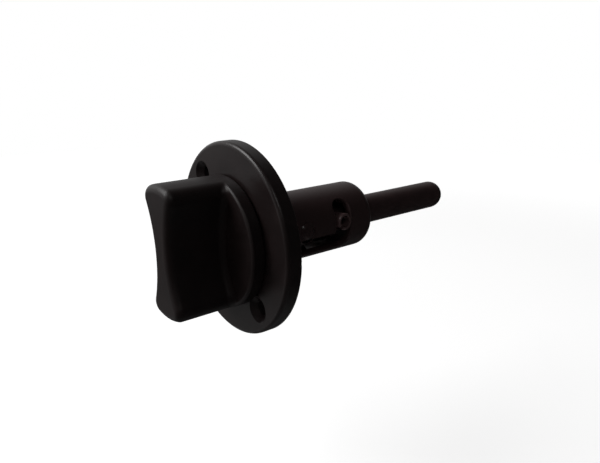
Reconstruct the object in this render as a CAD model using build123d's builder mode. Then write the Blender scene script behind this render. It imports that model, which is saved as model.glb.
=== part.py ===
# Surface mounted door latch. A round flange screws to the face of a door, and a barrel with a pair of
# L-shaped slots stands behind it. A sprung plunger runs through both, and a waisted knob turns and draws it.
# The latch axis lies along Y, with the knob towards -Y, the plunger's nose towards +Y and Z up.
# The origin is the centre of the flange's back face, which lies on the door.
# Angles about the axis are in degrees from +Z towards +X.
import os
from math import cos, radians, sin, tan

from build123d import *

os.makedirs("parts", exist_ok=True)

# Plunger, with its round nose and the stud that holds the knob
rod_d = 10.0
rod_l = 97.0
rod_play = 0.1
stud_d = 5.6
stud_l = 13.0
stud_chamfer = 0.6

# Mounting flange, with two countersunk screw holes
flange_d = 58.0
flange_t = 4.9
flange_front_round = 1.2
flange_back_round = 0.5
screw_circle_d = 45.0
screw_hole_d = 4.5
screw_sink_d = 8.2
screw_sink_angle = 90.0
screw_angle = 140.0

# Neck of the flange, inside the barrel
neck_l = 20.0
neck_play = 0.05
spring_seat_t = 3.0

# Barrel
barrel_d = 22.0
barrel_l = 46.0
barrel_seat_depth = 1.0
barrel_seat_play = 0.05
barrel_wall = 2.0
barrel_end_t = 8.0
barrel_end_round = 3.4
barrel_mouth_chamfer = 0.5

# L-shaped slots, one on each side of the barrel
slot_w = 6.2
slot_branch_y = 31.2
slot_pocket_angle = 58.0
slot_leg_angle = 117.0
pull_travel = 18.0
slot_edge_chamfer = 0.4
neck_slot_play = 0.2

# Slotted spring pin across the plunger
pin_d = 5.5
pin_wall = 0.9
pin_slit_w = 1.1
pin_slit_angle = 225.0
pin_proud = 0.4
pin_chamfer = 0.35
pin_wall_gap = 0.15
pin_angle = 82.0

# Domed rivets that hold the barrel on the neck
rivet_y = 16.4
rivet_angle = 83.5
rivet_shank_d = 3.0
rivet_head_d = 5.2
rivet_head_edge = 0.35
rivet_head_h = 1.4
rivet_seat_depth = 0.4
rivet_play = 0.05

# Compression spring and the washer between it and the pin
spring_wire_d = 1.2
spring_play = 0.5
spring_turns = 6.5
washer_t = 1.0
washer_play = 0.2
face_gap = 0.1

# Knob: a round base and a waisted grip across it
knob_d = 39.0
knob_h = 21.6
knob_base_t = 4.0
knob_gap = 0.5
grip_angle = -3.5
grip_waist_t = 8.6
scoop_r = 33.0
grip_foot_round = 2.0
grip_corner_round = 3.5
grip_front_round = 2.2
knob_rim_round = 1.0
knob_rim_turn = 65.0
knob_back_round = 0.4
moulding_play = 0.02
rod_socket_depth = 1.6

# Places along the axis
flange_front_y = -flange_t
spring_seat_y = flange_front_y + spring_seat_t
knob_back_y = flange_front_y - knob_gap
knob_base_y = knob_back_y - knob_base_t
knob_front_y = knob_back_y - knob_h
rod_end_y = knob_back_y - rod_socket_depth
rod_nose_y = rod_end_y + rod_l
barrel_foot_y = -barrel_seat_depth
barrel_end_y = barrel_foot_y + barrel_l
pin_y = slot_branch_y + (slot_w - pin_d) / 2 - pin_wall_gap
washer_y = pin_y - pin_d / 2 - face_gap - washer_t
leg_end_y = slot_branch_y - pull_travel

# Radii about the axis
rod_r = rod_d / 2
barrel_r = barrel_d / 2
barrel_bore_r = barrel_r - barrel_wall
neck_r = barrel_bore_r - neck_play
spring_mean_r = rod_r + spring_play + spring_wire_d / 2
neck_bore_r = spring_mean_r + spring_wire_d / 2 + spring_play
rivet_seat_r = barrel_r - rivet_seat_depth
slot_cut_r = barrel_r + barrel_wall
both_sides = (0, 180)


def radial(angle):
    """Unit vector from the axis outwards at an angle about it."""
    return Vector(sin(radians(angle)), 0, cos(radians(angle)))


def facing(angle, y=0.0):
    """Plane through the axis that faces outwards, with its own X along the latch axis."""
    return Plane(origin=(0, y, 0), x_dir=(0, 1, 0), z_dir=radial(angle))


def half_section(angle, y=0.0):
    """Plane that holds the axis as its own X and the outward direction as its own Y."""
    return Plane(origin=(0, y, 0), x_dir=(0, 1, 0), z_dir=radial(angle + 90))


def across(angle, y):
    """Plane square to the axis that looks towards the knob, with its own Y at an angle about the axis."""
    return Plane(origin=(0, y, 0), x_dir=radial(angle + 90), z_dir=(0, -1, 0))


# Mounting flange with its neck
with BuildPart() as mounting_flange:
    with BuildSketch(half_section(0)):
        with BuildLine():
            Polyline(
                (flange_front_y, rod_r + rod_play),
                (flange_front_y, flange_d / 2),
                (0, flange_d / 2),
                (0, barrel_r + barrel_seat_play),
                (barrel_foot_y, barrel_r + barrel_seat_play),
                (barrel_foot_y, neck_r),
                (neck_l, neck_r),
                (neck_l, neck_bore_r),
                (spring_seat_y, neck_bore_r),
                (spring_seat_y, rod_r + rod_play),
                close=True,
            )
        make_face()
    revolve(axis=Axis.Y)
    rims = mounting_flange.edges().filter_by(GeomType.CIRCLE).group_by(SortBy.RADIUS)[-1].sort_by(Axis.Y)
    fillet(rims[0], flange_front_round)
    rims = mounting_flange.edges().filter_by(GeomType.CIRCLE).group_by(SortBy.RADIUS)[-1].sort_by(Axis.Y)
    fillet(rims[-1], flange_back_round)
    with Locations(across(screw_angle, flange_front_y)):
        with PolarLocations(screw_circle_d / 2, 2, start_angle=90):
            CounterSinkHole(screw_hole_d / 2, screw_sink_d / 2, counter_sink_angle=screw_sink_angle)
    for side in both_sides:
        with BuildSketch(facing(slot_leg_angle + side)):
            with Locations(((leg_end_y + neck_l + slot_w) / 2, 0)):
                SlotCenterToCenter(neck_l + slot_w - leg_end_y, slot_w + 2 * neck_slot_play)
        extrude(amount=slot_cut_r, mode=Mode.SUBTRACT)
        with BuildSketch(facing(rivet_angle + side, rivet_y)):
            Circle(rivet_shank_d / 2 + rivet_play)
        extrude(amount=slot_cut_r, mode=Mode.SUBTRACT)
mounting_flange.part.label = "mounting_flange"
export_step(mounting_flange.part, "parts/mounting_flange.step")

# Barrel, closed at its far end round the plunger
with BuildPart() as barrel:
    with BuildSketch(half_section(0)):
        with BuildLine():
            Polyline(
                (barrel_foot_y, barrel_bore_r),
                (barrel_foot_y, barrel_r),
                (barrel_end_y, barrel_r),
                (barrel_end_y, rod_r + rod_play),
                (barrel_end_y - barrel_end_t, rod_r + rod_play),
                (barrel_end_y - barrel_end_t, barrel_bore_r),
                close=True,
            )
        make_face()
    revolve(axis=Axis.Y)
    end_rims = barrel.faces().sort_by(Axis.Y)[-1].edges().sort_by(SortBy.RADIUS)
    chamfer(end_rims[0], barrel_mouth_chamfer)
    end_rims = barrel.faces().sort_by(Axis.Y)[-1].edges().sort_by(SortBy.RADIUS)
    fillet(end_rims[-1], barrel_end_round)
    for side in both_sides:
        with BuildSketch(half_section(slot_pocket_angle + side, slot_branch_y)):
            with Locations((0, slot_cut_r / 2)):
                Rectangle(slot_w, slot_cut_r)
        revolve(
            axis=Axis.Y,
            revolution_arc=slot_leg_angle - slot_pocket_angle,
            mode=Mode.SUBTRACT,
        )
        with BuildSketch(facing(slot_pocket_angle + side, slot_branch_y)):
            Circle(slot_w / 2)
        extrude(amount=slot_cut_r, mode=Mode.SUBTRACT)
        with BuildSketch(facing(slot_leg_angle + side)):
            with Locations((slot_branch_y - pull_travel / 2, 0)):
                SlotCenterToCenter(pull_travel, slot_w)
        extrude(amount=slot_cut_r, mode=Mode.SUBTRACT)
    outside = barrel.faces().filter_by(GeomType.CYLINDER).sort_by(SortBy.AREA)[-1]
    chamfer([edge for outline in outside.inner_wires() for edge in outline.edges()], slot_edge_chamfer)
    for side in both_sides:
        with BuildSketch(facing(rivet_angle + side, rivet_y)):
            Circle(rivet_shank_d / 2 + rivet_play)
        extrude(amount=slot_cut_r, mode=Mode.SUBTRACT)
        with BuildSketch(facing(rivet_angle + side, rivet_y).offset(rivet_seat_r)):
            Circle(rivet_head_d / 2 + rivet_play)
        extrude(amount=slot_cut_r, mode=Mode.SUBTRACT)
barrel.part.label = "barrel"
export_step(barrel.part, "parts/barrel.step")

# The two domed rivets
with BuildPart() as barrel_rivets:
    for side in both_sides:
        with BuildSketch(half_section(rivet_angle + side, rivet_y)):
            with BuildLine():
                Polyline(
                    (0, rivet_seat_r + rivet_head_h),
                    (0, neck_bore_r + rivet_play),
                    (rivet_shank_d / 2, neck_bore_r + rivet_play),
                    (rivet_shank_d / 2, rivet_seat_r),
                    (rivet_head_d / 2, rivet_seat_r),
                    (rivet_head_d / 2, rivet_seat_r + rivet_head_edge),
                )
                TangentArc(
                    (0, rivet_seat_r + rivet_head_h),
                    (rivet_head_d / 2, rivet_seat_r + rivet_head_edge),
                    tangent=(1, 0),
                )
            make_face()
        revolve(axis=Axis((0, rivet_y, 0), radial(rivet_angle + side)))
barrel_rivets.part.label = "barrel_rivets"
export_step(barrel_rivets.part, "parts/barrel_rivets.step")

# Plunger: one turned rod, round at the nose and stepped down to a stud in the knob
with BuildPart() as plunger:
    with BuildSketch(half_section(0)):
        with BuildLine():
            Polyline(
                (rod_nose_y, 0),
                (rod_end_y - stud_l, 0),
                (rod_end_y - stud_l, stud_d / 2 - stud_chamfer),
                (rod_end_y - stud_l + stud_chamfer, stud_d / 2),
                (rod_end_y, stud_d / 2),
                (rod_end_y, rod_r),
                (rod_nose_y - rod_r, rod_r),
            )
            RadiusArc((rod_nose_y - rod_r, rod_r), (rod_nose_y, 0), rod_r)
        make_face()
    revolve(axis=Axis.Y)
    with BuildSketch(facing(pin_angle, pin_y)):
        Circle(pin_d / 2 + moulding_play)
    extrude(amount=rod_d, both=True, mode=Mode.SUBTRACT)
plunger.part.label = "plunger"
export_step(plunger.part, "parts/plunger.step")

# Slotted spring pin, rolled from strip, across the plunger
pin_l = barrel_d + 2 * pin_proud
with BuildPart() as cross_pin:
    with BuildSketch(facing(pin_angle, pin_y).offset(-pin_l / 2)):
        Circle(pin_d / 2)
        Circle(pin_d / 2 - pin_wall, mode=Mode.SUBTRACT)
    extrude(amount=pin_l)
    pin_ends = cross_pin.edges().filter_by(GeomType.CIRCLE).group_by(SortBy.RADIUS)[-1]
    chamfer(pin_ends, pin_chamfer)
    with BuildSketch(facing(pin_angle, pin_y).offset(-pin_l / 2)):
        with Locations(Location((0, 0), pin_slit_angle)):
            Rectangle(pin_d, pin_slit_w, align=(Align.MIN, Align.CENTER))
    extrude(amount=pin_l, mode=Mode.SUBTRACT)
cross_pin.part.label = "cross_pin"
export_step(cross_pin.part, "parts/cross_pin.step")

# Washer that carries the spring against the pin
with BuildPart() as spring_washer:
    with BuildSketch(across(0, washer_y + washer_t)):
        Circle(neck_bore_r - washer_play)
        Circle(rod_r + washer_play, mode=Mode.SUBTRACT)
    extrude(amount=washer_t)
spring_washer.part.label = "spring_washer"
export_step(spring_washer.part, "parts/spring_washer.step")

# Compression spring round the plunger, with both ends ground flat
spring_l = washer_y - face_gap - spring_seat_y
with BuildPart() as spring:
    with BuildLine() as coil:
        Helix(
            pitch=spring_l / spring_turns,
            height=spring_l,
            radius=spring_mean_r,
            center=(0, spring_seat_y, 0),
            direction=(0, 1, 0),
        )
    with BuildSketch(Plane(origin=coil.line @ 0, z_dir=coil.line % 0)):
        Circle(spring_wire_d / 2)
    sweep(path=coil.line, is_frenet=True)
    split(bisect_by=Plane(origin=(0, spring_seat_y, 0), z_dir=(0, 1, 0)), keep=Keep.TOP)
    split(bisect_by=Plane(origin=(0, spring_seat_y + spring_l, 0), z_dir=(0, 1, 0)), keep=Keep.BOTTOM)
spring.part.label = "spring"
export_step(spring.part, "parts/spring.step")

# Relief in front of the knob's base: its floor rounds over the rim, and the waisted grip stands through it
knob_r = knob_d / 2
scoop_x = grip_waist_t / 2 + scoop_r
rim_flat_r = knob_r - knob_rim_round * sin(radians(knob_rim_turn))
rim_edge_y = knob_base_y + knob_rim_round * (1 - cos(radians(knob_rim_turn)))
relief_back_y = rim_edge_y + knob_r * tan(radians(knob_rim_turn))
with BuildPart() as relief:
    with BuildSketch(half_section(0)):
        with BuildLine():
            Polyline(
                (rim_edge_y, knob_r),
                (relief_back_y, knob_d),
                (knob_front_y, knob_d),
                (knob_front_y, 0),
                (knob_base_y, 0),
                (knob_base_y, rim_flat_r),
            )
            RadiusArc((knob_base_y, rim_flat_r), (rim_edge_y, knob_r), knob_rim_round)
        make_face()
    revolve(axis=Axis.Y)
    with BuildSketch(across(grip_angle, relief_back_y)) as grip_outline:
        Circle(knob_r)
        with Locations((scoop_x, 0), (-scoop_x, 0)):
            Circle(scoop_r, mode=Mode.SUBTRACT)
        fillet(grip_outline.vertices(), grip_corner_round)
    extrude(amount=relief_back_y - knob_front_y, mode=Mode.SUBTRACT)
    grip_walls = relief.faces().filter_by(GeomType.CYLINDER).sort_by(SortBy.AREA)[:-1]
    grip_feet = grip_walls.edges().filter_by_position(Axis.Y, knob_base_y - knob_rim_round, knob_back_y)
    fillet(grip_feet, grip_foot_round)

# Knob: a round blank with the relief cut from it
with BuildPart() as knob:
    with BuildSketch(across(grip_angle, knob_back_y)):
        Circle(knob_r)
    extrude(amount=knob_h)
    add(relief.part, mode=Mode.SUBTRACT)
    fillet(knob.edges().group_by(Axis.Y)[0], grip_front_round)
    fillet(knob.edges().group_by(Axis.Y)[-1], knob_back_round)
    with BuildSketch(across(0, knob_back_y)):
        Circle(rod_r + moulding_play)
    extrude(amount=rod_socket_depth, mode=Mode.SUBTRACT)
    with BuildSketch(across(0, rod_end_y)):
        Circle(stud_d / 2 + moulding_play)
    extrude(amount=stud_l, mode=Mode.SUBTRACT)
knob.part.label = "knob"
export_step(knob.part, "parts/knob.step")
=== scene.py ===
"""Finish, light and camera for a surface mounted door latch."""
from math import cos, pi, radians, sin

import bpy
from mathutils import Matrix, Vector


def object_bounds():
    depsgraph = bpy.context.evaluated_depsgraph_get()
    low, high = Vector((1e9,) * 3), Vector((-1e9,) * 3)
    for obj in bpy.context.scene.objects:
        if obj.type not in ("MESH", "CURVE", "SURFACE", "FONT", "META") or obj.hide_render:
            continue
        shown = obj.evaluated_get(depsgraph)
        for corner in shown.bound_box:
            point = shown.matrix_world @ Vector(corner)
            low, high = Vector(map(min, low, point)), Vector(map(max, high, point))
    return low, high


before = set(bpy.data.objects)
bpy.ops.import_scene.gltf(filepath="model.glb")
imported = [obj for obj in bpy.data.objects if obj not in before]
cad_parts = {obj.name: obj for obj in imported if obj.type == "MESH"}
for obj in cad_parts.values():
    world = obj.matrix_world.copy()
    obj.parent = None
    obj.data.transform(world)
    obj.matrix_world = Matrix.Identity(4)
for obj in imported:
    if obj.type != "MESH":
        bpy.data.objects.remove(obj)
cad_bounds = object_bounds()

mm = 0.001

# Camera, at the photograph's viewing angle: degrees, and a place from the centre of the flange's back
view_azimuth = 51.70
view_elevation = 18.13
view_roll = 0.44
view_place = Vector((139.84, -88.55, 55.58)) * mm
view_near = 1 * mm
view_focal_px = 575.92
photo_width_px = 600
sensor_width = 36.0

# Floor, below the latch. The camera sees its lit grey plus a lift, which grows to white past the shadow.
floor_drop = 45 * mm
floor_radius = 600 * mm
floor_sides = 128
floor_grey = 0.45
floor_lift = 0.82
shadow_radius = 260 * mm

# Room, dim in itself. In gloss it has a white wall over a pale table at the left, with a darker gap between
# them, a panel behind the latch and a faint glow from below. A way is a direction from the latch, and its
# edge is the cosines where it starts and is full. The wall's foot is sines of height, the table's and the
# glow's edges are sines of depth.
room_level = 0.02
wall_way = (-0.86, -0.51, 0.0)
wall_edge = (0.40, 0.92)
wall_foot = (-0.28, -0.10)
wall_level = 0.45
table_edge = (0.36, 0.50)
table_level = 0.28
back_way = (-0.80, 0.52, 0.28)
back_edge = (0.54, 0.98)
back_level = 0.30
under_edge = (0.68, 0.92)
under_level = 0.07

# Finishes: how many times as light the pale marks are as the rest, on a black and on steel
black_mottle = 1.3
steel_mottle = 2.0

# Sockets of a Mix node that take and give colours, by number because several share a name
mix_amount = 0
mix_first = 6
mix_second = 7
mix_colour = 2


class Shade:
    """One output of a node. Arithmetic on it adds Math nodes to the same tree."""

    def __init__(self, tree, socket=None):
        self.tree = tree
        self.socket = socket

    def node(self, kind, settings=None, inputs=None, output=0):
        """Add a node, make its settings, fill or link its sockets, and give back one of its outputs."""
        made = self.tree.nodes.new(kind)
        for name, value in (settings or {}).items():
            setattr(made, name, value)
        for name, value in (inputs or {}).items():
            if isinstance(value, Shade):
                self.tree.links.new(value.socket, made.inputs[name])
            else:
                made.inputs[name].default_value = value
        return Shade(self.tree, made.outputs[output] if made.outputs else None)

    def math(self, operation, first, second):
        return self.node("ShaderNodeMath", {"operation": operation}, {0: first, 1: second})

    def __add__(self, other):
        return self.math("ADD", self, other)

    def __sub__(self, other):
        return self.math("SUBTRACT", self, other)

    def __rsub__(self, other):
        return self.math("SUBTRACT", other, self)

    def __mul__(self, other):
        return self.math("MULTIPLY", self, other)

    __radd__ = __add__
    __rmul__ = __mul__

    def larger(self, other):
        return self.math("MAXIMUM", self, other)

    def ramp(self, low, high):
        """From 0 at low to 1 at high, eased at both ends."""
        return self.node(
            "ShaderNodeMapRange",
            {"interpolation_type": "SMOOTHSTEP"},
            {"Value": self, "From Min": low, "From Max": high},
        )

    def tint(self, first, second):
        """Colour that goes from first to second as this value goes from 0 to 1."""
        inputs = {mix_amount: self, mix_first: first, mix_second: second}
        return self.node("ShaderNodeMix", {"data_type": "RGBA"}, inputs, output=mix_colour)


def grey(level):
    return (level, level, level, 1.0)


def warm_black(level, warmth):
    """Black with the red cast that dyed and coated blacks have in warm light."""
    return (level * (1 + warmth), level, level, 1.0)


def new_material(name):
    material = bpy.data.materials.new(name)
    material.use_nodes = True
    material.node_tree.nodes.clear()
    return material, Shade(material.node_tree)


def place(shade, stretch):
    """The surface point in metres from the piece's own origin, stretched along the axes."""
    point = shade.node("ShaderNodeTexCoord", output="Object")
    return shade.node("ShaderNodeMapping", {"vector_type": "POINT"}, {"Vector": point, "Scale": stretch})


def noise(shade, size, detail=2.0, stretch=(1, 1, 1)):
    """Noise from 0 to 1 with marks of about a given size."""
    return shade.node(
        "ShaderNodeTexNoise",
        inputs={"Vector": place(shade, stretch), "Scale": 1 / size, "Detail": detail},
    )


def mottled_black(marks, level, warmth):
    """Black that is lighter where the marks are."""
    return marks.tint(warm_black(level, warmth), warm_black(level * black_mottle, warmth))


def finish_surface(shade, colour, roughness, height, depth, strength, constants):
    """Close a material: a bump of a given depth, the shader with its constant sockets, and the output."""
    normal = shade.node(
        "ShaderNodeBump",
        inputs={"Height": height, "Distance": depth, "Strength": strength},
    )
    sockets = {"Base Color": colour, "Roughness": roughness, "Normal": normal}
    surface = shade.node("ShaderNodeBsdfPrincipled", inputs={**sockets, **constants})
    shade.node("ShaderNodeOutputMaterial", inputs={"Surface": surface})


def moulded_black(name, level, warmth, smoothest):
    """Black moulded plastic with a fine spark-eroded grain."""
    material, shade = new_material(name)
    grain = noise(shade, size=0.45 * mm, detail=3.0)
    cloud = noise(shade, size=7 * mm)
    colour = mottled_black(cloud.ramp(low=0.35, high=0.65), level, warmth)
    roughness = smoothest + 0.06 * cloud + 0.05 * grain
    constants = {"Specular IOR Level": 0.4}
    finish_surface(shade, colour, roughness, grain, depth=0.03 * mm, strength=0.15, constants=constants)
    return material


def coated_black(name, level, warmth, smoothest):
    """Satin black coat on metal, with a slight ripple."""
    material, shade = new_material(name)
    ripple = noise(shade, size=1.3 * mm)
    speck = noise(shade, size=0.3 * mm, detail=3.0)
    colour = mottled_black(speck.ramp(low=0.3, high=0.7), level, warmth)
    roughness = smoothest + 0.06 * ripple + 0.05 * speck
    height = ripple + 0.3 * speck
    constants = {"Specular IOR Level": 0.4}
    finish_surface(shade, colour, roughness, height, depth=0.02 * mm, strength=0.4, constants=constants)
    return material


def turned_black(name, level, warmth, smoothest):
    """Black coat on a turned rod, with fine rings round it."""
    material, shade = new_material(name)
    rings = noise(shade, size=4 * mm, detail=4.0, stretch=(1, 14, 1))
    cloud = noise(shade, size=5 * mm)
    colour = mottled_black(cloud.ramp(low=0.3, high=0.7), level, warmth)
    roughness = smoothest + 0.10 * rings + 0.04 * cloud
    constants = {"Specular IOR Level": 0.45}
    finish_surface(shade, colour, roughness, rings, depth=0.012 * mm, strength=0.4, constants=constants)
    return material


def dark_steel(name, level, smoothest):
    """Oxide-blackened steel with rubbed streaks."""
    material, shade = new_material(name)
    streak = noise(shade, size=0.8 * mm, detail=4.0)
    colour = streak.ramp(low=0.35, high=0.75).tint(grey(level), grey(level * steel_mottle))
    roughness = smoothest + 0.15 * streak
    constants = {"Metallic": 1.0}
    finish_surface(shade, colour, roughness, streak, depth=0.01 * mm, strength=0.3, constants=constants)
    return material


finishes = {
    "mounting_flange": moulded_black("flange moulded black", level=0.0088, warmth=0.5, smoothest=0.27),
    "knob": moulded_black("knob moulded black", level=0.0052, warmth=0.8, smoothest=0.40),
    "barrel": coated_black("barrel satin coat", level=0.0205, warmth=0.75, smoothest=0.30),
    "barrel_rivets": coated_black("rivet satin coat", level=0.021, warmth=0.7, smoothest=0.15),
    "plunger": turned_black("plunger turned coat", level=0.0215, warmth=0.8, smoothest=0.34),
    "cross_pin": coated_black("pin oxide coat", level=0.06, warmth=0.6, smoothest=0.2),
    "spring_washer": dark_steel("washer dark steel", level=0.10, smoothest=0.30),
    # The spring's level, a third of the washer's, is painted shade: it darkens the bore seen through the
    # slot.
    "spring": dark_steel("spring wire darkened as painted bore shade", level=0.03, smoothest=0.30),
}
for node_name, material in finishes.items():
    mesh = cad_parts[node_name].data
    mesh.materials.clear()
    mesh.materials.append(material)


def ray_kind(shade, kind):
    return shade.node("ShaderNodeLightPath", output=f"Is {kind} Ray")


def shown(shade, in_gloss):
    """1 for what the camera sees straight or through glass, a set value for gloss, 0 for other light."""
    straight = ray_kind(shade, "Camera").larger(ray_kind(shade, "Transmission"))
    return straight.larger(ray_kind(shade, "Glossy") * in_gloss)


def lay_floor():
    """Round pale floor that keeps the latch's shadow. Gloss sees the room's table in its place."""
    bpy.ops.mesh.primitive_circle_add(vertices=floor_sides, radius=floor_radius, fill_type="NGON")
    floor = bpy.context.object
    floor.name = "floor"
    floor.location = (0, 0, cad_bounds[0].z - floor_drop)
    material, shade = new_material("floor pale")
    point = shade.node("ShaderNodeTexCoord", output="Object")
    away = shade.node("ShaderNodeVectorMath", {"operation": "LENGTH"}, {0: point}, output="Value")
    lift = away.ramp(shadow_radius, floor_radius).tint(grey(floor_lift), grey(1.0))
    glow = shown(shade, in_gloss=1.0).tint(grey(0.0), lift)
    pale = shade.node("ShaderNodeBsdfDiffuse", inputs={"Color": grey(floor_grey)})
    light = shade.node("ShaderNodeEmission", inputs={"Color": glow})
    both = shade.node("ShaderNodeAddShader", inputs={0: pale, 1: light})
    shade.node("ShaderNodeOutputMaterial", inputs={"Surface": both})
    floor.data.materials.append(material)
    floor.visible_glossy = False


def along(way, direction):
    """How far a unit vector points in a given direction, from -1 to 1."""
    inputs = {0: way, 1: Vector(direction).normalized()}
    return way.node("ShaderNodeVectorMath", {"operation": "DOT_PRODUCT"}, inputs, output="Value")


def light_room():
    """World that shows as white, lights the latch only a little and has its own forms in gloss."""
    world = bpy.data.worlds.new("studio")
    world.use_nodes = True
    world.node_tree.nodes.clear()
    shade = Shade(world.node_tree)
    way = shade.node("ShaderNodeTexCoord", output="Generated")
    height = shade.node("ShaderNodeSeparateXYZ", inputs={"Vector": way}, output="Z")
    depth = 0 - height
    wall = height.ramp(*wall_foot) * wall_level
    table = depth.ramp(*table_edge) * table_level
    left = along(way, wall_way).ramp(*wall_edge) * (wall + table)
    back = along(way, back_way).ramp(*back_edge) * back_level
    under = depth.ramp(*under_edge) * under_level
    colour = shown(shade, in_gloss=left + back + under).tint(grey(room_level), grey(1.0))
    sky = shade.node("ShaderNodeBackground", inputs={"Color": colour})
    shade.node("ShaderNodeOutputWorld", inputs={"Surface": sky})
    bpy.context.scene.world = world


def softbox(name, place_mm, size_mm, level, in_gloss=True):
    """Square lamp aimed at the latch. At level 1 a white card there that faces it renders as white."""
    lamp = bpy.data.lights.new(name, "AREA")
    lamp.size = size_mm * mm
    spot = Vector(place_mm) * mm
    lamp.energy = level * (pi * spot.length) ** 2
    rig = bpy.data.objects.new(name, lamp)
    rig.location = spot
    rig.rotation_euler = (-spot).to_track_quat("-Z", "Y").to_euler()
    rig.visible_glossy = in_gloss
    bpy.context.scene.collection.objects.link(rig)


def set_camera():
    """Camera from its azimuth, elevation and roll, with its own axes as the columns of its matrix."""
    azimuth = radians(view_azimuth)
    elevation = radians(view_elevation)
    back = Vector((sin(azimuth) * cos(elevation), -cos(azimuth) * cos(elevation), sin(elevation)))
    level_right = Vector((cos(azimuth), sin(azimuth), 0))
    right = Matrix.Rotation(radians(view_roll), 3, back) @ level_right
    up = back.cross(right)
    camera = bpy.data.cameras.new("camera")
    camera.sensor_width = sensor_width
    camera.lens = view_focal_px * sensor_width / photo_width_px
    camera.clip_start = view_near
    rig = bpy.data.objects.new("camera", camera)
    rig.matrix_world = Matrix.Translation(view_place) @ Matrix((right, up, back)).transposed().to_4x4()
    bpy.context.scene.collection.objects.link(rig)
    bpy.context.scene.camera = rig


lay_floor()
light_room()
softbox("key softbox", place_mm=(-315, -375, 440), size_mm=360, level=0.55)
softbox("left fill", place_mm=(-450, -300, 380), size_mm=600, level=0.23, in_gloss=False)
softbox("front fill", place_mm=(60, -560, 250), size_mm=520, level=0.12, in_gloss=False)
softbox("right softbox", place_mm=(390, -230, 470), size_mm=180, level=0.05)
set_camera()
bpy.context.scene.view_settings.view_transform = "Standard"
